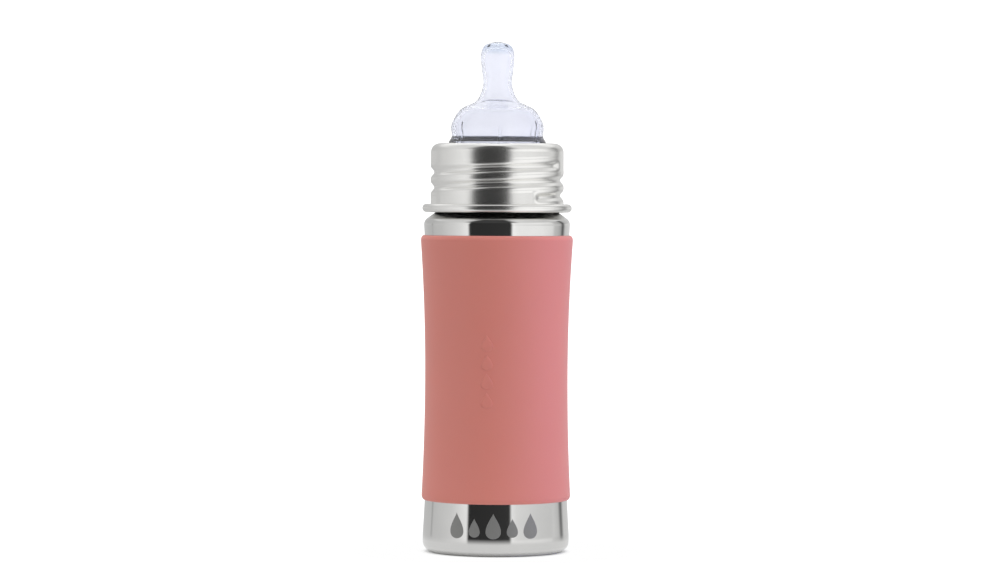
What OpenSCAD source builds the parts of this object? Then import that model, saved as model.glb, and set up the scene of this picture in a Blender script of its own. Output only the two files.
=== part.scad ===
// Baby bottle: a single-wall steel feeding bottle with a screw collar, a silicone nipple
// and a stretch-on silicone sleeve. Upright on z = 0, axis along +Z, front towards -Y.

/* [Body] */
// Outer radius just above the rounded bottom corner
base_r = 30.85; // [30:0.05:33]
// Outer radius at the waist
waist_r = 28.7; // [27.5:0.1:29.5]
// Outer radius where the wall meets the shoulder
shoulder_r = 30.7; // [30:0.1:33]
// Height of the waist
waist_z = 74; // [60:1:90]
// Height of the straight wall, up to the shoulder
body_h = 137.3; // [120:0.1:150]
// Thickness of the steel wall
wall_t = 0.55; // [0.4:0.05:0.7]
// Radius of the bottom corner
corner_r = 5.5; // [4:0.5:6]
// Radius of the corner between the wall and the shoulder
shoulder_corner_r = 3.3; // [1:0.1:4]
// How far the base panel is domed up from the standing ring
base_dome = 3.2; // [2:0.1:5]

/* [Neck] */
// Outer radius of the neck
neck_r = 25.3; // [25:0.1:25.3]
// Rise of the shoulder cone above the horizontal, in degrees
shoulder_slope = 35; // [25:1:40]
// Height of the neck, from the top of the wall to the drinking rim
neck_h = 30.8; // [30.6:0.1:32.6]
// Radius of the rolled rim
rim_bead_r = 0.65; // [0.5:0.05:0.65]
// Rise of the thread in one turn
thread_pitch = 6.4; // [6.2:0.1:7]
// Height of the rolled thread above the neck
neck_thread_h = 1.5; // [1.2:0.1:1.5]

/* [Collar] */
// Outer radius of the collar wall
collar_r = 27.9; // [27.9:0.1:28.5]
// Thickness of the collar's steel
collar_t = 0.6; // [0.5:0.05:0.7]
// Depth of the rolled thread groove in the collar
groove_depth = 1.4; // [1.1:0.1:1.4]
// Radius of the rolled bead at the collar's foot
collar_bead_r = 1.8; // [1.4:0.1:1.9]
// Radius of the collar's top corner
collar_corner_r = 3.8; // [3.8:0.1:5]
// Radius of the hole that the nipple comes through
collar_hole_r = 20.1; // [19.8:0.1:20.2]

/* [Nipple] */
// Largest radius of the nipple's dome
dome_r = 19.5; // [19:0.1:20]
// Smallest radius of the teat, at its neck
teat_neck_r = 6; // [5.5:0.1:6.6]
// Radius of the teat's rounded end
teat_r = 7.1; // [6.8:0.05:7.8]
// Height of the nipple above the collar
nipple_h = 42.6; // [40:0.1:46]
// Thickness of the silicone in the dome
dome_t = 1.7; // [1.4:0.1:2.2]
// Thickness of the silicone in the teat
teat_t = 1.5; // [1.3:0.1:1.8]
// Number of stiffening ribs inside the dome
dome_ribs = 6; // [4:1:8]

/* [Sleeve] */
// Height of the sleeve's lower edge
sleeve_z0 = 21.8; // [15:0.1:30]
// Height of the sleeve's upper edge
sleeve_z1 = 132.8; // [120:0.1:134]
// Outer radius of the sleeve at the waist
sleeve_waist_r = 29.95; // [29.8:0.05:31]
// Outer radius of the sleeve at its lower edge
sleeve_low_r = 31.35; // [31.2:0.05:33]
// Outer radius of the sleeve at its upper edge
sleeve_high_r = 32.1; // [31.7:0.1:33]
// Height of the sleeve's rounded edges
sleeve_edge_h = 2; // [1:0.1:3]

/* [Hidden] */
$fn = 96;

wall_steps = 24;      // bands in the height of the waisted wall
arc_steps = 6;        // flats in a small rounded corner
turn_step = 12;       // degrees between sections along a thread
cut_over = 1;         // how far a cutting shape runs past what it cuts

// Standing ring: the turned-in flange that carries the base disc.
flange_in_r = base_r - corner_r - 1.25;
disc_r = base_r - corner_r - 0.05;
disc_t = 0.6;

// Shoulder and neck.
shoulder_fillet_r = 1;
shoulder_normal = 90 - shoulder_slope;
foot_lean = atan(2 * (base_r - waist_r) / (waist_z - corner_r));
top_lean = atan(2 * (shoulder_r - waist_r) / (body_h - waist_z));
wall_z0 = corner_r + corner_r * sin(foot_lean);
wall_z1 = body_h - shoulder_corner_r * sin(top_lean);
corner_end = [shoulder_r - shoulder_corner_r + shoulder_corner_r * cos(shoulder_normal),
              body_h + shoulder_corner_r * sin(shoulder_normal)];
fillet_end_r = neck_r + shoulder_fillet_r * (1 - cos(shoulder_normal));
fillet_end_z = corner_end[1] + (corner_end[0] - fillet_end_r) * tan(shoulder_slope);
fillet_z = fillet_end_z + shoulder_fillet_r * sin(shoulder_normal);
rim_z = body_h + neck_h;

// Nipple flange, snap groove and lip, which hold the collar's inner edge between them.
seat_gap = 0.1;
flange_z = rim_z + seat_gap;
flange_t = 2.5;
flange_r = collar_r - collar_t - 1.1;
flange_round_r = collar_corner_r - collar_t - 0.6;    // clear of the collar's inner corner
flange_foot = asin((flange_round_r - flange_t) / flange_round_r);
plate_z = flange_z + flange_t + seat_gap;
collar_top = plate_z + collar_t;
groove_r = collar_hole_r - 0.35;
lip_z = collar_top + seat_gap;
lip_r = 20.5;
mouth_r = 17.6;
tip_z = collar_top + nipple_h;
tip_t = 2;
teat_hole_r = 0.3;
vent_hole_r = 0.4;
vent_at = 21.6;
rib_w = 1.2;
rib_depth = 0.8;
rib_top = 9;

// Collar.
collar_bead_z = body_h + 6.9;
thread_z = collar_bead_z + 11.8;    // height of the groove's middle at angle 0 (+X)
groove_half_w = 2.3;
groove_from = -418;                 // degrees about +Z, where the groove starts, low
groove_to = 339;                    // and where it ends, high
neck_thread_half_w = 1.9;
neck_thread_from = -160;
neck_thread_to = 290;
run_out = 12;                       // degrees over which a thread fades at each end
bite = 0.25;                        // how far a thread's foot is buried in its wall

// Sleeve.
sleeve_gap = 0.25;
sleeve_round = 0.85;                // share of its thickness that an edge rounds off

// Radius of the steel wall's outside at height z.
function body_r_at(z) = z < waist_z
    ? waist_r + (base_r - waist_r) * pow((waist_z - z) / (waist_z - corner_r), 2)
    : waist_r + (shoulder_r - waist_r) * pow((z - waist_z) / (body_h - waist_z), 2);

// Radius of the sleeve's outside at height z.
function sleeve_r_at(z) = z < waist_z
    ? sleeve_waist_r + (sleeve_low_r - sleeve_waist_r) * pow((waist_z - z) / (waist_z - sleeve_z0), 2)
    : sleeve_waist_r + (sleeve_high_r - sleeve_waist_r) * pow((z - waist_z) / (sleeve_z1 - waist_z), 2);

// Points [r, z] along an arc of radius r about [cr, cz], from angle a0 to a1.
function arc(cr, cz, r, a0, a1, n = arc_steps) =
    [for (i = [0:n]) let (a = a0 + (a1 - a0) * i / n) [cr + r * cos(a), cz + r * sin(a)]];

function reversed(path) = [for (i = [len(path) - 1:-1:0]) path[i]];

// Unit direction of an open path at its point i.
function heading(path, i) =
    let (step = path[min(i + 1, len(path) - 1)] - path[max(i - 1, 0)]) step / norm(step);

// A path moved to its left by the distances in d, one for each point.
function shifted(path, d) =
    [for (i = [0:len(path) - 1]) let (h = heading(path, i)) path[i] + d[i] * [-h[1], h[0]]];

// Point at t (0 to 1) of the smooth curve between b and c, with neighbours a and d.
function curve_point(a, b, c, d, t) =
    (2 * b + (c - a) * t + (2 * a - 5 * b + 4 * c - d) * t * t
     + (3 * b - a - 3 * c + d) * t * t * t) / 2;

// Smooth curve through the points of p, with n pieces between neighbours.
function curve(p, n = 3) = concat(
    [for (i = [1:len(p) - 3], j = [0:n - 1]) curve_point(p[i - 1], p[i], p[i + 1], p[i + 2], j / n)],
    [p[len(p) - 2]]);

function same(path, d) = [for (p = path) d];

// Outside of the steel body, from the standing ring's inner edge up to the neck's top.
shell_outline = concat(
    [[flange_in_r, 0]],
    arc(base_r - corner_r, corner_r, corner_r, -90, foot_lean),
    [for (i = [1:wall_steps - 1])
        let (z = wall_z0 + (wall_z1 - wall_z0) * i / wall_steps) [body_r_at(z), z]],
    arc(shoulder_r - shoulder_corner_r, body_h, shoulder_corner_r, -top_lean, shoulder_normal),
    arc(neck_r + shoulder_fillet_r, fillet_z, shoulder_fillet_r, 180 + shoulder_normal, 180),
    [[neck_r, rim_z - rim_bead_r]]);

// Underside of the base disc, from its middle out to its welded rim.
disc_outline = [
    [0, base_dome], [12, base_dome - 0.25], [20.5, base_dome - 0.9],
    [22.6, base_dome - 1.8], [flange_in_r, wall_t], [disc_r, wall_t]];

// Control points of the nipple's outside, from its lip to its tip and one beyond.
nipple_knots = [
    [lip_r + 0.6, lip_z - 0.4], [lip_r, lip_z + 0.4], [dome_r - 0.35, lip_z + 3],
    [dome_r, lip_z + 6.7], [0.925 * dome_r, lip_z + 10.6], [0.775 * dome_r, lip_z + 14.4],
    [0.48 * dome_r, tip_z - 25.1], [teat_neck_r + 1.15, tip_z - 21.9], [teat_neck_r, tip_z - 17.2],
    [teat_neck_r + 0.65, tip_z - 11.6], [teat_r, tip_z - 6.5], [0.93 * teat_r, tip_z - 3.4],
    [0.74 * teat_r, tip_z - 1.4], [0.4 * teat_r, tip_z - 0.45], [0, tip_z], [-0.4 * teat_r, tip_z - 0.45]];
nipple_outline = curve(nipple_knots);

// Thickness of the silicone behind a point of the nipple's outside.
function nipple_t_at(p) =
    p[1] < tip_z - 26 ? dome_t :
    p[1] < tip_z - 6 ? teat_t :
    teat_t + (tip_t - teat_t) * (p[1] - tip_z + 6) / 6;

nipple_inside = [
    for (p = shifted(nipple_outline, [for (q = nipple_outline) nipple_t_at(q)]))
        if (p[1] > lip_z + 2) [max(p[0], 0), p[1]]];

// Height of a rolled thread's section, 1 at its middle and 0 at its edges.
function bell(t) = 0.5 + 0.5 * cos(180 * t);

// How much of a thread's height is left at angle a, fading over the run-out at both ends.
function fade(a, from, to) =
    let (t = min(1, min(a - from, to - a) / run_out)) max(0.02, 0.5 - 0.5 * cos(180 * t));

// Section of a thread at angle a: points [r, z], foot to foot. side is 1 outwards, -1 inwards.
function thread_section(root_r, height, half_w, z, a, from, to, side) = [
    for (i = [-3:3]) let (t = side * i / 3)
        [root_r + side * ((height + bite) * bell(t) * fade(a, from, to) - bite),
         z + thread_pitch * a / 360 + half_w * t]];

// A helical thread on a wall of radius root_r, standing height proud on one side of it.
module thread(root_r, height, half_w, z, from, to, side) {
    turns = round((to - from) / turn_step);
    sections = [for (k = [0:turns]) let (a = from + (to - from) * k / turns)
        [for (p = thread_section(root_r, height, half_w, z, a, from, to, side))
            [p[0] * cos(a), p[0] * sin(a), p[1]]]];
    m = len(sections[0]);
    polyhedron(
        points = [for (s = sections, p = s) p],
        faces = concat(
            [[for (j = [m - 1:-1:0]) j]],
            [for (k = [0:turns - 1], j = [0:m - 1]) let (b = k * m, n = (j + 1) % m)
                [b + m + n, b + m + j, b + j]],
            [for (k = [0:turns - 1], j = [0:m - 1]) let (b = k * m, n = (j + 1) % m)
                [b + n, b + m + n, b + j]],
            [[for (j = [0:m - 1]) turns * m + j]]));
}

// Drawn steel body: waisted wall, shoulder, neck with a rolled rim and a rolled thread.
module bottle_shell() {
    color("silver") union() {
        rotate_extrude() {
            polygon(concat(shell_outline, reversed(shifted(shell_outline, same(shell_outline, wall_t)))));
            translate([neck_r - wall_t / 2, rim_z - rim_bead_r]) circle(r = rim_bead_r);
        }
        thread(neck_r, neck_thread_h, neck_thread_half_w, thread_z + thread_pitch / 2,
               neck_thread_from, neck_thread_to, 1);
    }
}

// Stamped panel welded onto the shell's turned-in flange.
module base_disc() {
    color("gainsboro") rotate_extrude()
        polygon(concat(disc_outline, reversed([for (p = disc_outline) p + [0, disc_t]])));
}

// One-piece silicone nipple: sealing flange, snap groove, dome and teat.
module nipple() {
    color([0.86, 0.92, 0.97, 0.6]) difference() {
        union() {
            difference() {
                rotate_extrude() polygon(concat(
                    [[0, flange_z]],
                    arc(flange_r - flange_round_r, flange_z + flange_t - flange_round_r,
                        flange_round_r, flange_foot, 90),
                    [[groove_r, flange_z + flange_t], [groove_r, lip_z], [lip_r, lip_z]],
                    nipple_outline));
                rotate_extrude() polygon(concat(
                    [[0, flange_z - cut_over], [mouth_r, flange_z - cut_over]], nipple_inside));
            }
            for (i = [0:dome_ribs - 1])
                rotate([0, 0, i * 360 / dome_ribs - 86])
                    translate([mouth_r - rib_depth, -rib_w / 2, lip_z])
                        cube([rib_depth + dome_t / 2, rib_w, rib_top]);
        }
        translate([0, 0, tip_z - tip_t - cut_over]) cylinder(r = teat_hole_r, h = tip_t + 2 * cut_over);
        translate([0, vent_at, flange_z - cut_over]) cylinder(r = vent_hole_r, h = flange_t + 2 * cut_over);
    }
}

// Rolled steel screw ring: wall, rounded top with the nipple's hole, bead at its foot.
module collar() {
    inner_r = collar_r - collar_t;
    color("lightgray") difference() {
        union() {
            rotate_extrude() {
                polygon(concat(
                    [[collar_hole_r, plate_z]],
                    arc(collar_r - collar_corner_r, collar_top - collar_corner_r,
                        collar_corner_r - collar_t, 90, 0),
                    [[inner_r, collar_bead_z], [collar_r, collar_bead_z]],
                    arc(collar_r - collar_corner_r, collar_top - collar_corner_r,
                        collar_corner_r, 0, 90),
                    [[collar_hole_r, collar_top]]));
                translate([collar_r - 0.1 + collar_bead_r, collar_bead_z]) circle(r = collar_bead_r);
            }
            thread(inner_r, groove_depth, groove_half_w, thread_z, groove_from, groove_to, -1);
        }
        thread(collar_r, groove_depth, groove_half_w, thread_z, groove_from, groove_to, -1);
    }
}

// Silicone grip stretched around the waist, its outer edges rounded down to the steel.
module sleeve() {
    z_low = sleeve_z0 + sleeve_edge_h;
    z_high = sleeve_z1 - sleeve_edge_h;
    color([0.82, 0.5, 0.47]) rotate_extrude()
        polygon(concat(
            sleeve_edge(z_low, -90, 0),
            [for (i = [1:wall_steps - 1])
                let (z = z_low + (z_high - z_low) * i / wall_steps) [sleeve_r_at(z), z]],
            sleeve_edge(z_high, 0, 90),
            [for (i = [wall_steps:-1:0])
                let (z = sleeve_z0 + (sleeve_z1 - sleeve_z0) * i / wall_steps)
                    [body_r_at(z) + sleeve_gap, z]]));
}

// Quarter-round outer edge of the sleeve that starts or ends at height z.
function sleeve_edge(z, a0, a1) =
    let (width = sleeve_round * (sleeve_r_at(z) - body_r_at(z) - sleeve_gap))
    [for (p = arc(-1, 0, 1, a0, a1)) [sleeve_r_at(z) + p[0] * width, z + p[1] * sleeve_edge_h]];

bottle_shell();
base_disc();
nipple();
collar();
sleeve();
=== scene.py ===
"""Looks of the baby bottle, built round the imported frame.

Outlines are lists of (radius, height) in millimetres about the bottle's axis, with the same
driving sizes as the CAD, and every mesh is made from them in metres. -Y is the front.
"""

import math

import bmesh
import bpy
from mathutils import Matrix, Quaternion, Vector


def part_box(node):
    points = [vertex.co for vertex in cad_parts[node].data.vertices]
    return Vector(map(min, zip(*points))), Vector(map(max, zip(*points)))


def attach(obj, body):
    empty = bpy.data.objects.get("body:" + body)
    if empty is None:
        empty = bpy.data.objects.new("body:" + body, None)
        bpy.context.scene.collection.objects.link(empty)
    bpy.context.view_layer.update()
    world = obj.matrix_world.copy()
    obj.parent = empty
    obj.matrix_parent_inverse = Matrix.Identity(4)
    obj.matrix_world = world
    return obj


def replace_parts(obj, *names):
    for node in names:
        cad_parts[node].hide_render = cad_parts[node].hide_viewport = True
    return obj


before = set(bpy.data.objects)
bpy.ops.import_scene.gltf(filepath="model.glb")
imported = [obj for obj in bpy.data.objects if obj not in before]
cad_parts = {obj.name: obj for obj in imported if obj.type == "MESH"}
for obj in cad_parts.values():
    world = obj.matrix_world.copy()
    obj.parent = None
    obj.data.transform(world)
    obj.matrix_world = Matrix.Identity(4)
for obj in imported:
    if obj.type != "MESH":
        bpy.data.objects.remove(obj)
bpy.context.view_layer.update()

MM = 0.001


def top_of(node):
    """Height of a CAD node's top, in millimetres."""
    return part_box(node)[1].z / MM


def radius_of(node):
    """Largest radius of a round CAD node, in millimetres."""
    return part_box(node)[1].x / MM


# ---- sizes, in millimetres -------------------------------------------------------------

BASE_R = radius_of("bottle_shell")
WAIST_R = 28.7
SHOULDER_R = 30.7
WAIST_Z = 74.0
BODY_H = 137.3
WALL_T = 0.55
CORNER_R = 5.5
FLANGE_IN_R = BASE_R - CORNER_R - 1.25
FOOT_BLEND_Z = 8.0       # top of the arc between the foot's corner and the wall
FOOT_BLEND_R = 28.0
FOOT_BLEND_TURN = 5      # degrees that the arc runs on below its widest point
DISC_T = 0.6
DISC_DOME = 3.2

NECK_R = 25.3
RIM_Z = top_of("bottle_shell")
RIM_BEAD_R = 0.65
SHOULDER_SLOPE = math.radians(35)
SHOULDER_CORNER_R = 3.3
SHOULDER_FILLET_R = 1.0
# Height above which the steel's colour is darkened: painted shade for the gap under the collar's
# bead.
PAINTED_SHADE_Z = 140.2           # steel above this is hidden by the collar

# Threads: height, half width, start and end in degrees about +Z, height of the middle at 0.
PITCH = 6.4
THREAD_Z = 156.0
NECK_THREAD = {"height": 1.5, "half_w": 1.8, "from": -160, "to": 290, "z": THREAD_Z + PITCH / 2}
GROOVE = {"height": 1.4, "half_w": 2.5, "from": -418, "to": 340, "z": THREAD_Z}
GROOVE_LIP = 0.08
RUN_OUT = 10             # degrees over which a thread fades at each end

COLLAR_R = 27.9
COLLAR_T = 0.6
COLLAR_TOP = top_of("collar")
COLLAR_CORNER_R = 3.8
COLLAR_HOLE_R = 20.1
BEAD_R = 1.8
BEAD_BITE = 0.1          # how far the bead's curl is set into the wall
BEAD_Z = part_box("collar")[0].z / MM + BEAD_R

TIP_Z = top_of("nipple")
FLANGE_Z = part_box("nipple")[0].z / MM
FLANGE_R = radius_of("nipple")
FLANGE_T = 2.5
FLANGE_ROUND_R = 2.6
LIP_R = 20.5
LIP_Z = COLLAR_TOP + 0.1
DOME_R = 19.5
TEAT_NECK_R = 6.0
TEAT_R = 7.1
DOME_T = 1.7
TEAT_T = 1.5
TIP_T = 2.0
MOUTH_R = 17.6
TEAT_HOLE_R = 0.3
RIB_H = 0.9
RIB_HALF_W = 4.0         # degrees
RIB_STEP = 60            # degrees from one rib to the next
RIB_START = 86
RIB_Z = LIP_Z + 4
RIB_REACH = 6            # how far a rib runs up and down from RIB_Z

SLEEVE_Z0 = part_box("sleeve")[0].z / MM
SLEEVE_Z1 = top_of("sleeve")
SLEEVE_WAIST_R = 29.95
SLEEVE_LOW_R = 31.35
SLEEVE_HIGH_R = 32.1
SLEEVE_EDGE_H = 2.0
SLEEVE_ROUND = 0.85
SLEEVE_GAP = 0.06


# ---- outlines --------------------------------------------------------------------------

def parabola(z, z0, z1, r0, r1):
    """Radius at height z of a curve that is r0 and upright at z0, and r1 at z1."""
    return r0 + (r1 - r0) * ((z - z0) / (z1 - z0)) ** 2


def body_r_at(z):
    """Radius of the steel wall's outside at height z."""
    if z < WAIST_Z:
        return parabola(z, WAIST_Z, CORNER_R, WAIST_R, BASE_R)
    return parabola(z, WAIST_Z, BODY_H, WAIST_R, SHOULDER_R)


def sleeve_r_at(z):
    """Radius of the sleeve's outside at height z."""
    if z < WAIST_Z:
        return parabola(z, WAIST_Z, SLEEVE_Z0, SLEEVE_WAIST_R, SLEEVE_LOW_R)
    return parabola(z, WAIST_Z, SLEEVE_Z1, SLEEVE_WAIST_R, SLEEVE_HIGH_R)


def steps(a, b, n):
    """n + 1 even values from a to b."""
    return [a + (b - a) * i / n for i in range(n + 1)]


def arc(cr, cz, r, a0, a1, n=12):
    """Points along an arc of radius r about (cr, cz), from angle a0 to a1 in degrees."""
    return [(cr + r * math.cos(math.radians(a)), cz + r * math.sin(math.radians(a)))
            for a in steps(a0, a1, n)]


def line(p, q, n):
    """Points from p to q."""
    return [(p[0] + (q[0] - p[0]) * t, p[1] + (q[1] - p[1]) * t) for t in steps(0, 1, n)]


def heading(path, i):
    """Unit direction of an open path at its point i."""
    a, b = path[max(i - 1, 0)], path[min(i + 1, len(path) - 1)]
    d = math.hypot(b[0] - a[0], b[1] - a[1])
    return (b[0] - a[0]) / d, (b[1] - a[1]) / d


def shifted(path, distance):
    """A path moved to its left, by a number or by distance(point)."""
    out = []
    for i, p in enumerate(path):
        hr, hz = heading(path, i)
        d = distance(p) if callable(distance) else distance
        out.append((p[0] - hz * d, p[1] + hr * d))
    return out


def curve(knots, n=12):
    """Smooth curve through knots, whose first and last only set the end directions."""
    out = []
    for a, b, c, d in zip(knots, knots[1:], knots[2:], knots[3:]):
        for t in steps(0, 1, n)[:-1]:
            out.append(tuple(
                (2 * b[k] + (c[k] - a[k]) * t + (2 * a[k] - 5 * b[k] + 4 * c[k] - d[k]) * t ** 2
                 + (3 * b[k] - a[k] - 3 * c[k] + d[k]) * t ** 3) / 2 for k in (0, 1)))
    return out + [knots[-2]]


def bell(t):
    """1 at t = 0, falling smoothly to 0 at t = 1 and beyond."""
    return 0.5 + 0.5 * math.cos(math.pi * min(abs(t), 1))


def thread_place(thread, angle, z):
    """Where a point lies on a thread: how many half widths off its middle, and the share of
    the thread's height that is left there, at an angle in degrees about +Z and a height z."""
    off, left = 9.0, 0.0
    turn = math.floor((thread["from"] - angle) / 360) * 360
    while angle + turn <= thread["to"]:
        a = angle + turn
        t = (z - thread["z"] - PITCH * a / 360) / thread["half_w"]
        if a >= thread["from"] and abs(t) < abs(off):
            off = t
            left = bell(1 - min(a - thread["from"], thread["to"] - a, RUN_OUT) / RUN_OUT)
        turn += 360
    return off, left


def ridge_height(angle, z):
    """How far the neck's thread stands proud of the neck."""
    off, left = thread_place(NECK_THREAD, angle, z)
    return NECK_THREAD["height"] * left * bell(off)


def groove_depth(angle, z):
    """How far the collar's groove sinks into its wall, less the lips that it throws up."""
    off, left = thread_place(GROOVE, angle, z)
    between = PITCH / 2 / GROOVE["half_w"]
    return left * (GROOVE["height"] * bell(off) - GROOVE_LIP * bell((abs(off) - between) / 0.45))


# ---- meshes ----------------------------------------------------------------------------

def finish_mesh(name, bm, body, material, sharp=40):
    """Turns a bmesh in metres into a smooth piece that rides on a body."""
    bmesh.ops.recalc_face_normals(bm, faces=bm.faces)
    mesh = bpy.data.meshes.new(name)
    bm.to_mesh(mesh)
    bm.free()
    mesh.materials.append(material)
    for poly in mesh.polygons:
        poly.use_smooth = True
    mesh.set_sharp_from_angle(angle=math.radians(sharp))
    piece = bpy.data.objects.new(name, mesh)
    bpy.context.scene.collection.objects.link(piece)
    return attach(piece, body)


def lathe(outline, turns, move=None, closed=True):
    """A bmesh of the outline turned about the axis. move(i, angle, r, z) may change the radius."""
    bm = bmesh.new()
    rings = []
    for i, (r, z) in enumerate(outline):
        if r < 1e-6:
            rings.append([bm.verts.new((0, 0, z * MM))] * turns)
            continue
        ring = []
        for k in range(turns):
            angle = 360 * k / turns
            rr = r if move is None else move(i, angle, r, z)
            a = math.radians(angle)
            ring.append(bm.verts.new((rr * math.cos(a) * MM, rr * math.sin(a) * MM, z * MM)))
        rings.append(ring)
    pairs = list(zip(rings, rings[1:]))
    if closed:
        pairs.append((rings[-1], rings[0]))
    for low, high in pairs:
        for k in range(turns):
            n = (k + 1) % turns
            corners = list(dict.fromkeys([low[k], low[n], high[n], high[k]]))
            if len(corners) > 2:
                bm.faces.new(corners)
    return bm


def foot_curve():
    """Foot of the body: a tight corner that eases through a wide arc into the wall."""
    lean = math.atan(2 * (BASE_R - WAIST_R) * (WAIST_Z - FOOT_BLEND_Z) / (WAIST_Z - CORNER_R) ** 2)
    turn = math.radians(FOOT_BLEND_TURN)
    wide_r = body_r_at(FOOT_BLEND_Z) - FOOT_BLEND_R * math.cos(lean)
    wide_z = FOOT_BLEND_Z - FOOT_BLEND_R * math.sin(lean)
    wide = arc(wide_r, wide_z, FOOT_BLEND_R, -FOOT_BLEND_TURN, math.degrees(lean), 16)
    start_r, start_z = wide[0]
    tight_r = start_z / (1 - math.sin(turn))
    tight = arc(start_r - tight_r * math.cos(turn), tight_r, tight_r, -90, -FOOT_BLEND_TURN, 26)
    return tight + wide[1:]


def shell_outside():
    """Outside of the steel body, from the foot flange's inner edge to the neck's top."""
    high_lean = math.degrees(math.atan(2 * (SHOULDER_R - WAIST_R) / (BODY_H - WAIST_Z)))
    normal = 90 - math.degrees(SHOULDER_SLOPE)
    foot = foot_curve()
    corner = arc(SHOULDER_R - SHOULDER_CORNER_R, BODY_H, SHOULDER_CORNER_R, -high_lean, normal, 24)
    wall = [(body_r_at(z), z) for z in steps(foot[-1][1], corner[0][1], 150)[1:-1]]
    end_r = NECK_R + SHOULDER_FILLET_R * (1 - math.cos(math.radians(normal)))
    end_z = corner[-1][1] + (corner[-1][0] - end_r) * math.tan(SHOULDER_SLOPE)
    fillet_z = end_z + SHOULDER_FILLET_R * math.sin(math.radians(normal))
    fillet = arc(NECK_R + SHOULDER_FILLET_R, fillet_z, SHOULDER_FILLET_R, 180 + normal, 180, 10)
    cone = line(corner[-1], fillet[0], 12)[1:-1]
    return [(FLANGE_IN_R, 0)] + foot + wall + corner + cone + fillet


def make_shell(material):
    """Drawn steel body with its rolled neck thread and rim."""
    outside = shell_outside()
    neck_foot = outside[-1]
    neck = line(neck_foot, (NECK_R, RIM_Z - 2 * RIM_BEAD_R), 80)[1:]
    inside = shifted(outside + neck, WALL_T)[::-1]
    rim = arc(NECK_R - WALL_T / 2, RIM_Z - RIM_BEAD_R, RIM_BEAD_R, -50, 230, 24)
    outline = outside + neck + rim + inside
    threaded = range(len(outside), len(outside) + len(neck))

    def move(i, angle, r, z):
        return r + ridge_height(angle, z) if i in threaded else r

    bm = lathe(outline, 288, move)
    piece = finish_mesh("steel_body", bm, "bottle", material)
    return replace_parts(piece, "bottle_shell")


def make_base_disc(material):
    """Stamped base panel with soft bends, welded on the foot flange."""
    under = curve([
        (-12, DISC_DOME - 0.2), (0, DISC_DOME), (12, DISC_DOME - 0.25), (20.0, DISC_DOME - 0.8),
        (22.4, DISC_DOME - 1.75), (FLANGE_IN_R - 0.4, WALL_T + 0.1), (FLANGE_IN_R + 0.2, WALL_T),
        (BASE_R - CORNER_R, WALL_T)])
    bm = lathe(under + [(r, z + DISC_T) for r, z in reversed(under)], 192, closed=False)
    piece = finish_mesh("base_panel", bm, "bottle", material)
    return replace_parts(piece, "base_disc")


def make_collar(material):
    """Rolled screw ring: rounded top, helical groove in the wall, curled bead at the foot."""
    centre_r = COLLAR_R - COLLAR_CORNER_R
    centre_z = COLLAR_TOP - COLLAR_CORNER_R
    plate_z = COLLAR_TOP - COLLAR_T
    hole = arc(COLLAR_HOLE_R + COLLAR_T / 2, plate_z + COLLAR_T / 2, COLLAR_T / 2, 270, 90, 10)
    plate = line((COLLAR_HOLE_R + COLLAR_T, COLLAR_TOP), (centre_r, COLLAR_TOP), 6)[:-1]
    corner = arc(centre_r, centre_z, COLLAR_CORNER_R, 90, 0, 20)
    curl_r = COLLAR_R - BEAD_BITE + BEAD_R
    wall = line((COLLAR_R, centre_z), (COLLAR_R, BEAD_Z + 0.75), 150)[1:]
    curl = arc(curl_r, BEAD_Z, BEAD_R, 152, -90, 40)
    back = line((COLLAR_R - COLLAR_T, BEAD_Z - 0.9), (COLLAR_R - COLLAR_T, centre_z), 150)
    under = arc(centre_r, centre_z, COLLAR_CORNER_R - COLLAR_T, 0, 90, 12)[1:]
    outline = hole + plate + corner + wall + curl + back + under
    out_start = len(hole + plate + corner)
    in_start = len(hole + plate + corner + wall + curl)
    grooved = {*range(out_start, out_start + len(wall)), *range(in_start, in_start + len(back))}

    def move(i, angle, r, z):
        return r - groove_depth(angle, z) if i in grooved else r

    bm = lathe(outline, 360, move)
    piece = finish_mesh("screw_collar", bm, "collar", material)
    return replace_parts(piece, "collar")


def nipple_thickness(point):
    """Thickness of the silicone behind a point of the nipple's outside."""
    t = min(max((point[1] - (TIP_Z - 29)) / 6, 0), 1)
    return DOME_T + (TEAT_T - DOME_T) * t * t * (3 - 2 * t)


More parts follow.
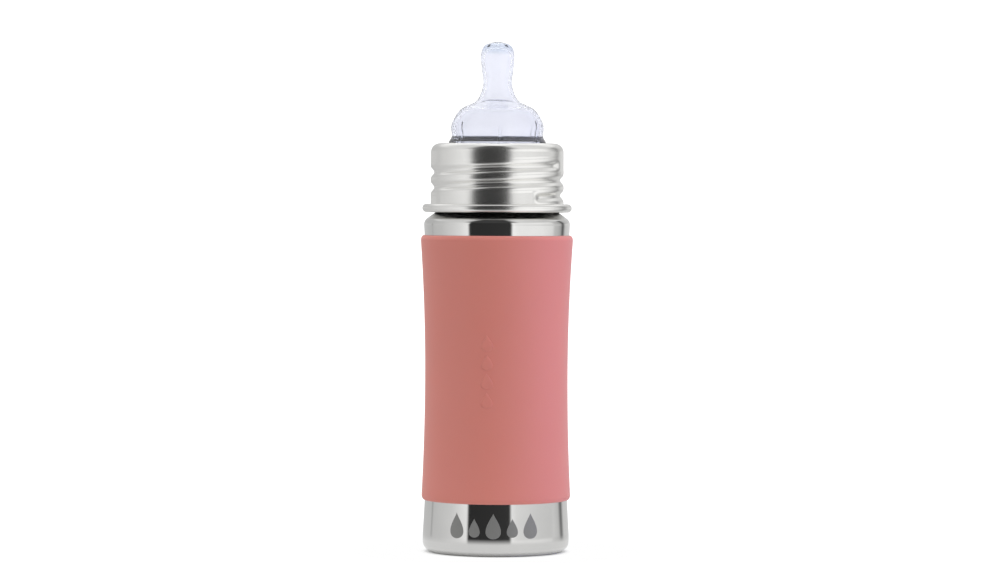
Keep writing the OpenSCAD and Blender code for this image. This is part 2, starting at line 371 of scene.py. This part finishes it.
def make_nipple(material):
    """One-piece silicone nipple with ribs inside the dome and a feeding hole at its tip."""
    knots = [(LIP_R + 0.6, LIP_Z - 0.4), (LIP_R, LIP_Z + 0.4), (DOME_R - 0.35, LIP_Z + 3),
             (DOME_R, LIP_Z + 6.7), (0.925 * DOME_R, LIP_Z + 10.6), (0.775 * DOME_R, LIP_Z + 14.4),
             (0.48 * DOME_R, TIP_Z - 25.1), (TEAT_NECK_R + 1.15, TIP_Z - 21.9),
             (TEAT_NECK_R, TIP_Z - 17.2), (TEAT_NECK_R + 0.65, TIP_Z - 11.6), (TEAT_R, TIP_Z - 6.5),
             (0.93 * TEAT_R, TIP_Z - 3.4), (0.74 * TEAT_R, TIP_Z - 1.4),
             (0.4 * TEAT_R, TIP_Z - 0.45), (0, TIP_Z), (-0.4 * TEAT_R, TIP_Z - 0.45)]
    outside = curve(knots)
    inside = shifted(outside, nipple_thickness)
    outside = [p for p in outside if p[0] > TEAT_HOLE_R] + [(TEAT_HOLE_R, TIP_Z)]
    inside = [p for p in inside if LIP_Z + 2 < p[1] < TIP_Z - 7]
    end_r = TEAT_R - TEAT_T
    end = curve([(end_r * share, TIP_Z - down) for share, down in (
        (0.97, 8.4), (1, 6.8), (0.98, 5.6), (0.89, 4.3), (0.71, 3.25), (0.46, 2.5), (0.23, 2.12),
        (0, TIP_T), (-0.23, 2.12))])
    inside += [p for p in end if p[0] > TEAT_HOLE_R] + [(TEAT_HOLE_R, TIP_Z - TIP_T)]
    flange_top = FLANGE_Z + FLANGE_T
    groove_r = COLLAR_HOLE_R - 0.35
    foot_turn = math.degrees(math.asin(1 - FLANGE_T / FLANGE_ROUND_R))
    flange = ([(MOUTH_R, FLANGE_Z)]
              + arc(FLANGE_R - FLANGE_ROUND_R, flange_top - FLANGE_ROUND_R, FLANGE_ROUND_R,
                    foot_turn, 90, 14)
              + [(groove_r, flange_top), (groove_r, LIP_Z), (LIP_R - 0.3, LIP_Z)])
    bore = line(inside[0], (MOUTH_R, FLANGE_Z + 0.4), 6)[1:]
    outline = flange + outside + inside[::-1] + bore
    ribbed = range(len(flange) + len(outside), len(outline))

    def move(i, angle, r, z):
        if i not in ribbed:
            return r
        off = (angle + RIB_START + RIB_STEP / 2) % RIB_STEP - RIB_STEP / 2
        return r - RIB_H * bell(off / RIB_HALF_W) * bell((z - RIB_Z) / RIB_REACH)

    bm = lathe(outline, 360, move)
    piece = finish_mesh("silicone_nipple", bm, "nipple", material, 60)
    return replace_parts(piece, "nipple")


def sleeve_edge(z, a0, a1):
    """Quarter-round outer edge of the sleeve that starts or ends at height z."""
    width = SLEEVE_ROUND * (sleeve_r_at(z) - body_r_at(z) - SLEEVE_GAP)
    return [(sleeve_r_at(z) + (x - 1) * width, z + y * SLEEVE_EDGE_H)
            for x, y in arc(0, 0, 1, a0, a1, 18)]


def make_sleeve(material):
    """Silicone grip, its outer edges rounded down to the steel."""
    low = SLEEVE_Z0 + SLEEVE_EDGE_H
    high = SLEEVE_Z1 - SLEEVE_EDGE_H
    outside = [(sleeve_r_at(z), z) for z in steps(low, high, 160)[1:-1]]
    inside = [(body_r_at(z) + SLEEVE_GAP, z) for z in steps(SLEEVE_Z1, SLEEVE_Z0, 160)]
    bm = lathe(sleeve_edge(low, -90, 0) + outside + sleeve_edge(high, 0, 90) + inside, 288)
    piece = finish_mesh("grip_sleeve", bm, "sleeve", material)
    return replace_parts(piece, "sleeve")


def drop_point(t, width, height):
    """Point of a drop's outline at t (0 to 1), from its pointed top round its round foot."""
    a = 2 * math.pi * t
    return width / 2 * math.sin(a) * abs(math.sin(a / 2)) ** 1.5 * 1.3, height / 2 * math.cos(a)


def add_drop(bm, x, z, width, height, radius_at, profile):
    """A drop-shaped patch wrapped round the axis. profile lists (scale of outline, rise)."""
    count = 72
    rings = []
    for scale, rise in profile:
        ring = []
        for k in range(count):
            dx, dz = drop_point(k / count, width, height)
            pz = z + dz * scale
            a = (x + dx * scale) / radius_at(pz) - math.pi / 2
            r = radius_at(pz) + rise
            ring.append(bm.verts.new((r * math.cos(a) * MM, r * math.sin(a) * MM, pz * MM)))
        rings.append(ring)
    for low, high in zip(rings, rings[1:]):
        for k in range(count):
            n = (k + 1) % count
            bm.faces.new((low[k], low[n], high[n], high[k]))
    bm.faces.new(rings[0])
    bm.faces.new(rings[-1])


def make_sleeve_drops(material):
    """Column of low drops moulded on the grip, a little left of its middle."""
    soft = [(1.0, -0.3), (1.0, 0.0), (0.97, 0.14), (0.9, 0.24), (0.78, 0.28)]
    soft += [(scale, 0.3) for scale in (0.6, 0.4, 0.2, 0.03)]
    bm = bmesh.new()
    for k in range(4):
        width = 5.4 + 0.4 * (k % 2)
        add_drop(bm, -4.0, 64.8 + 7.9 * k, width, 6.6, sleeve_r_at, soft)
    return finish_mesh("sleeve_drops", bm, "sleeve", material, 70)


def make_etched_drops(material):
    """Row of drops etched into the steel below the grip."""
    flat = [(1.0, -0.08)] + [(scale, 0.012) for scale in (1.0, 0.8, 0.6, 0.4, 0.2, 0.02)]
    big, small = (12.9, 7.0, 10.6), (12.1, 5.2, 7.8)    # height of the middle, width, height
    bm = bmesh.new()
    for k in range(5):
        z, width, height = small if k % 2 else big
        add_drop(bm, -17.0 + 8.0 * k, z, width, height, body_r_at, flat)
    return finish_mesh("etched_drops", bm, "bottle", material, 70)


# ---- materials -------------------------------------------------------------------------

def add(tree, kind, values=None, **settings):
    """A new shader node. values sets or links its inputs."""
    node = tree.nodes.new(kind)
    for name, value in settings.items():
        setattr(node, name, value)
    for name, value in (values or {}).items():
        if isinstance(value, bpy.types.NodeSocket):
            tree.links.new(value, node.inputs[name])
        else:
            node.inputs[name].default_value = value
    return node


def new_material(name, **values):
    """A material with one Principled shader. values are its plain inputs, _ for a space."""
    material = bpy.data.materials.new(name)
    material.use_nodes = True
    shader = material.node_tree.nodes["Principled BSDF"]
    for key, value in values.items():
        shader.inputs[key.replace("_", " ")].default_value = value
    return material, material.node_tree, shader


def noise_at(tree, scale, detail=3, stretch=(1, 1, 1), roughness=0.5):
    """Noise in the row frame, with features about 1 / scale metres across."""
    place = add(tree, "ShaderNodeTexCoord").outputs["Object"]
    size = tuple(scale * s for s in stretch)
    moved = add(tree, "ShaderNodeMapping", {"Vector": place, "Scale": size})
    return add(tree, "ShaderNodeTexNoise",
               {"Vector": moved.outputs["Vector"], "Scale": 1.0, "Detail": detail,
                "Roughness": roughness}).outputs["Fac"]


def spread(tree, value, low, high, start=0.3, end=0.7, **settings):
    """Maps start..end of a value to low..high."""
    return add(tree, "ShaderNodeMapRange",
               {"Value": value, "From Min": start, "From Max": end, "To Min": low,
                "To Max": high}, **settings).outputs["Result"]


def compute(tree, operation, *values, **settings):
    """Result of a math node. Each value is a number or a socket."""
    return add(tree, "ShaderNodeMath", dict(enumerate(values)), operation=operation,
               **settings).outputs[0]


def bump(tree, shader, layers):
    """Chains bump layers of (height, strength, distance in metres) into a shader's normal."""
    normal = None
    for height, strength, distance in layers:
        values = {"Height": height, "Strength": strength, "Distance": distance}
        if normal is not None:
            values["Normal"] = normal
        normal = add(tree, "ShaderNodeBump", values).outputs["Normal"]
    tree.links.new(normal, shader.inputs["Normal"])


def colours(tree, factor, first, second):
    """Blend of two colours by a factor. Each is a colour or a socket."""
    def socket_value(colour):
        return colour if isinstance(colour, bpy.types.NodeSocket) else (*colour, 1)

    values = {"Factor": factor, 6: socket_value(first), 7: socket_value(second)}
    return add(tree, "ShaderNodeMix", values, data_type="RGBA").outputs[2]


def height_mask(tree, start, end):
    """0 below a height, 1 above another, both in millimetres in the row frame."""
    place = add(tree, "ShaderNodeTexCoord").outputs["Object"]
    height = add(tree, "ShaderNodeSeparateXYZ", {"Vector": place}).outputs["Z"]
    return spread(tree, height, 0, 1, start * MM, end * MM)


def polished_steel():
    """Mirror-polished stainless sheet with faint drawing marks and handling haze. Near its top,
    above a set height under the collar, its colour is darkened as painted shade and it is
    rougher, so the gap below the collar's bead stays dark."""
    material, tree, shader = new_material("polished_steel", Metallic=1.0)
    haze = noise_at(tree, 90, 4)
    marks = noise_at(tree, 1, 2, (30, 30, 2600))
    waves = noise_at(tree, 45, 1)
    # Painted shade: from this height up the steel is darker in colour, for the shaded gap under the
    # collar's bead.
    painted_shade = height_mask(tree, PAINTED_SHADE_Z, PAINTED_SHADE_Z + 1)
    bright = colours(tree, haze, (0.70, 0.70, 0.69), (0.78, 0.775, 0.76))
    tree.links.new(colours(tree, painted_shade, bright, (0.6, 0.6, 0.59)), shader.inputs["Base Color"])
    polish = spread(tree, haze, 0.045, 0.085)
    tree.links.new(compute(tree, "MULTIPLY_ADD", painted_shade, 0.2, polish), shader.inputs["Roughness"])
    bump(tree, shader, [(waves, 0.06, 0.0006), (marks, 0.05, 0.00002)])
    return material


def satin_steel():
    """Satin stainless steel, brushed up and down, so its reflections spread sideways."""
    material, tree, shader = new_material("satin_steel", Metallic=1.0, Anisotropic=0.65)
    grain = noise_at(tree, 1, 3, (2600, 2600, 60), 0.6)
    haze = noise_at(tree, 70, 3)
    tree.links.new(colours(tree, grain, (0.86, 0.855, 0.835), (0.94, 0.935, 0.915)),
                   shader.inputs["Base Color"])
    tree.links.new(spread(tree, haze, 0.19, 0.23), shader.inputs["Roughness"])
    tangent = add(tree, "ShaderNodeTangent", direction_type="RADIAL", axis="Z")
    tree.links.new(tangent.outputs["Tangent"], shader.inputs["Tangent"])
    bump(tree, shader, [(grain, 0.1, 0.00002)])
    return material


def clear_silicone():
    """Clear, slightly milky and bluish silicone with a soft moulded surface, a little deeper
    in colour where the tip is thick."""
    material, tree, shader = new_material("clear_silicone", IOR=1.39, Transmission_Weight=0.93)
    cloud = noise_at(tree, 140, 2)
    grain = noise_at(tree, 2200, 2)
    thin = colours(tree, cloud, (0.95, 0.953, 0.985), (0.97, 0.973, 0.995))
    tip = height_mask(tree, TIP_Z - 4.5, TIP_Z - 2.5)
    tree.links.new(colours(tree, tip, thin, (0.84, 0.89, 0.945)), shader.inputs["Base Color"])
    tree.links.new(spread(tree, cloud, 0.02, 0.05), shader.inputs["Roughness"])
    bump(tree, shader, [(grain, 0.05, 0.00004)])
    depth = add(tree, "ShaderNodeVolumeAbsorption",
                {"Color": (0.4, 0.44, 0.6, 1), "Density": 105.0})
    tree.links.new(depth.outputs[0], tree.nodes["Material Output"].inputs["Volume"])
    return material


def pink_silicone():
    """Matte coral-pink silicone with a soft bloom and a fine moulded grain."""
    material, tree, shader = new_material(
        "pink_silicone", Sheen_Weight=0.12, Sheen_Roughness=0.5,
        Subsurface_Weight=0.08, Subsurface_Scale=0.002, Specular_IOR_Level=0.3)
    cloud = noise_at(tree, 28, 3)
    grain = noise_at(tree, 3200, 2)
    orange_peel = noise_at(tree, 420, 2)
    tree.links.new(colours(tree, cloud, (0.675, 0.226, 0.188), (0.705, 0.242, 0.202)),
                   shader.inputs["Base Color"])
    tree.links.new(spread(tree, grain, 0.5, 0.6), shader.inputs["Roughness"])
    bump(tree, shader, [(orange_peel, 0.08, 0.0002), (grain, 0.12, 0.00005)])
    return material


def etched_steel():
    """Laser-etched patch of the steel: grey and matte."""
    material, tree, shader = new_material("etched_steel", Metallic=0.6)
    grain = noise_at(tree, 5000, 2)
    tree.links.new(colours(tree, grain, (0.24, 0.24, 0.235), (0.34, 0.34, 0.33)),
                   shader.inputs["Base Color"])
    tree.links.new(spread(tree, grain, 0.5, 0.65), shader.inputs["Roughness"])
    bump(tree, shader, [(grain, 0.2, 0.00003)])
    return material


# ---- stage -----------------------------------------------------------------------------

# Light from round the horizon: degrees from the front, + to the right, then its level above
# the horizon and its level just below it.
HORIZON = [
    (-180, 0.75, 0.66), (-160, 0.62, 0.55), (-127, 0.64, 0.57), (-123.5, 0.38, 0.56),
    (-119, 0.64, 0.60), (-98, 0.68, 0.66), (-74, 0.76, 0.80), (-60, 0.88, 0.90), (-47, 1.0, 1.05),
    (-43.5, 0.03, 0.03), (22, 0.04, 0.04), (25.5, 1.0, 1.15), (34, 0.86, 1.06), (76, 0.74, 1.04),
    (99, 0.70, 0.90), (105, 0.75, 0.64), (112, 0.70, 0.58), (119, 0.64, 0.46), (122, 0.42, 0.42),
    (126, 0.18, 0.13), (130, 0.20, 0.15), (135, 0.62, 0.45), (139, 0.78, 0.60), (160, 0.78, 0.68),
    (180, 0.75, 0.66)]
# Light from overhead, in the same way: its level.
OVERHEAD = [(-180, 1.2), (-140, 0.95), (-110, 0.7), (-60, 0.8), (-45, 0.06), (23, 0.06),
            (40, 0.85), (110, 0.7), (140, 0.95), (180, 1.2)]
# Where one level gives way to the next, as sines of the elevation.
TO_HORIZON = (-0.09, -0.01)
FROM_HORIZON = (0.05, 0.12)
TO_OVERHEAD = (0.42, 0.55)
TO_ZENITH = (0.965, 0.993)

BACKDROP = (1.35, 1.35, 1.35)    # overexposed white, seen directly and through clear pieces
INSIDE = (0.42, 0.5, 0.62)       # what reflections inside clear pieces see
MATTE_LIGHT = 1.25               # how much brighter the studio is for matte surfaces

# The floor, in metres: its radius, where it turns from table top to glow, and how far out the
# glow is even. FLOOR_GLOW is the glow's level in reflections and as light on the bottle.
FLOOR_R = 0.6
FLOOR_TURNS = (0.0262, 0.0335)
FLOOR_BRIGHT_R = 0.06
FLOOR_GLOW = 0.78

CAMERA_AT = (0.00136, -1.61, 0.148)
AIM_Z = 0.1134
CAMERA_ROLL = 0.25


def light_ramp(tree, turn, stops):
    """Grey levels round the horizon. turn is 0 to 1 from -180 to 180 degrees."""
    ramp = add(tree, "ShaderNodeValToRGB", {"Fac": turn})
    elements = ramp.color_ramp.elements
    for degrees, level in stops[1:-1]:
        elements.new((degrees + 180) / 360).color = (level, level, level, 1)
    elements[0].color = elements[-1].color = (stops[0][1],) * 3 + (1,)
    return ramp.outputs["Color"]


def make_world():
    """Studio round the bottle: soft light at the sides and above, dark behind the camera. What
    is seen directly or through clear pieces is the backdrop instead."""
    world = bpy.data.worlds.new("studio")
    bpy.context.scene.world = world
    world.use_nodes = True
    tree = world.node_tree
    background = tree.nodes["Background"]
    way = add(tree, "ShaderNodeSeparateXYZ",
              {"Vector": add(tree, "ShaderNodeTexCoord").outputs["Generated"]})
    to_front = compute(tree, "MULTIPLY", way.outputs["Y"], -1.0)
    angle = compute(tree, "ARCTAN2", way.outputs["X"], to_front)
    turn = spread(tree, angle, 0, 1, -math.pi, math.pi)
    low = light_ramp(tree, turn, [(degrees, below) for degrees, above, below in HORIZON])
    level = light_ramp(tree, turn, [(degrees, above) for degrees, above, below in HORIZON])
    over = light_ramp(tree, turn, OVERHEAD)

    sky = low
    for colour, heights in ((level, TO_HORIZON), (low, FROM_HORIZON), (over, TO_OVERHEAD),
                            ((1, 1, 1), TO_ZENITH)):
        share = spread(tree, way.outputs["Z"], 0, 1, *heights, interpolation_type="SMOOTHSTEP")
        sky = colours(tree, share, sky, colour)
    path = add(tree, "ShaderNodeLightPath").outputs
    direct = compute(tree, "MAXIMUM", path["Is Camera Ray"], path["Is Transmission Ray"])
    inside = compute(tree, "GREATER_THAN", path["Transmission Depth"], 0.5)
    seen = colours(tree, direct, colours(tree, inside, sky, INSIDE), BACKDROP)
    tree.links.new(seen, background.inputs["Color"])
    tree.links.new(spread(tree, path["Is Diffuse Ray"], 1.0, MATTE_LIGHT, 0, 1),
                   background.inputs["Strength"])


def make_fill(name, energy, colour, turn):
    """Soft lamp that lights the matte pieces and shows in no reflection. It shines straight
    down, or after turns in degrees about +X and +Y from another side."""
    data = bpy.data.lights.new(name, "SUN")
    data.energy = energy
    data.angle = math.radians(40)
    data.color = colour
    lamp = bpy.data.objects.new(name, data)
    lamp.location = (0, 0, 0.5)
    lamp.rotation_euler = (math.radians(turn[0]), math.radians(turn[1]), 0)
    lamp.visible_glossy = False
    lamp.visible_transmission = False
    bpy.context.scene.collection.objects.link(lamp)


def make_floor():
    """Pale table top under the bottle, which turns into an even white glow round it, and that
    thins out into the studio further away."""
    bm = bmesh.new()
    bmesh.ops.create_circle(bm, cap_ends=True, segments=96, radius=FLOOR_R)
    mesh = bpy.data.meshes.new("floor")
    bm.to_mesh(mesh)
    bm.free()
    material = bpy.data.materials.new("pale_floor")
    material.use_nodes = True
    tree = material.node_tree
    tree.nodes.clear()
    place = add(tree, "ShaderNodeTexCoord").outputs["Object"]
    far = add(tree, "ShaderNodeVectorMath", {0: place}, operation="LENGTH").outputs["Value"]
    turned = spread(tree, far, 0, 1, *FLOOR_TURNS, interpolation_type="SMOOTHSTEP")
    paint = add(tree, "ShaderNodeBsdfDiffuse", {"Color": (0.9, 0.9, 0.9, 1)}).outputs[0]
    direct = add(tree, "ShaderNodeLightPath").outputs["Is Camera Ray"]
    glow = add(tree, "ShaderNodeEmission",
               {"Color": (1, 1, 1, 1), "Strength": spread(tree, direct, FLOOR_GLOW, 1, 0, 1)})
    near = compute(tree, "DIVIDE", FLOOR_BRIGHT_R, far)
    share = compute(tree, "POWER", near, 1.5, use_clamp=True)
    clear = add(tree, "ShaderNodeBsdfTransparent").outputs[0]
    open_floor = add(tree, "ShaderNodeMixShader", {"Fac": share, 1: clear, 2: glow.outputs[0]})
    both = add(tree, "ShaderNodeMixShader", {"Fac": turned, 1: paint, 2: open_floor.outputs[0]})
    output = add(tree, "ShaderNodeOutputMaterial")
    tree.links.new(both.outputs[0], output.inputs["Surface"])
    mesh.materials.append(material)
    floor = bpy.data.objects.new("floor", mesh)
    bpy.context.scene.collection.objects.link(floor)


def make_camera():
    """Long lens, level with the shoulder, aimed at the middle of the bottle."""
    data = bpy.data.cameras.new("camera")
    data.lens = 138
    data.sensor_width = 36
    data.clip_end = 20
    camera = bpy.data.objects.new("camera", data)
    bpy.context.scene.collection.objects.link(camera)
    camera.location = CAMERA_AT
    aim = Vector((CAMERA_AT[0], 0, AIM_Z)) - camera.location
    roll = Quaternion((0, 0, 1), math.radians(CAMERA_ROLL))
    camera.rotation_mode = "QUATERNION"
    camera.rotation_quaternion = aim.to_track_quat("-Z", "Y") @ roll
    bpy.context.scene.camera = camera


# ---- the bottle ------------------------------------------------------------------------

make_camera()
make_world()
make_fill("violet_fill", 0.8, (0.05, 0.0, 1.0), (0, 90))
make_fill("top_fill", 2.0, (1.0, 1.0, 1.0), (0, 0))
make_fill("front_fill", 0.55, (1.0, 1.0, 1.0), (90, 0))
make_floor()
bpy.context.scene.view_settings.view_transform = "Standard"

steel = polished_steel()
pink = pink_silicone()
make_shell(steel)
make_base_disc(steel)
make_collar(satin_steel())
make_nipple(clear_silicone())
make_sleeve(pink)
make_sleeve_drops(pink)
make_etched_drops(etched_steel())
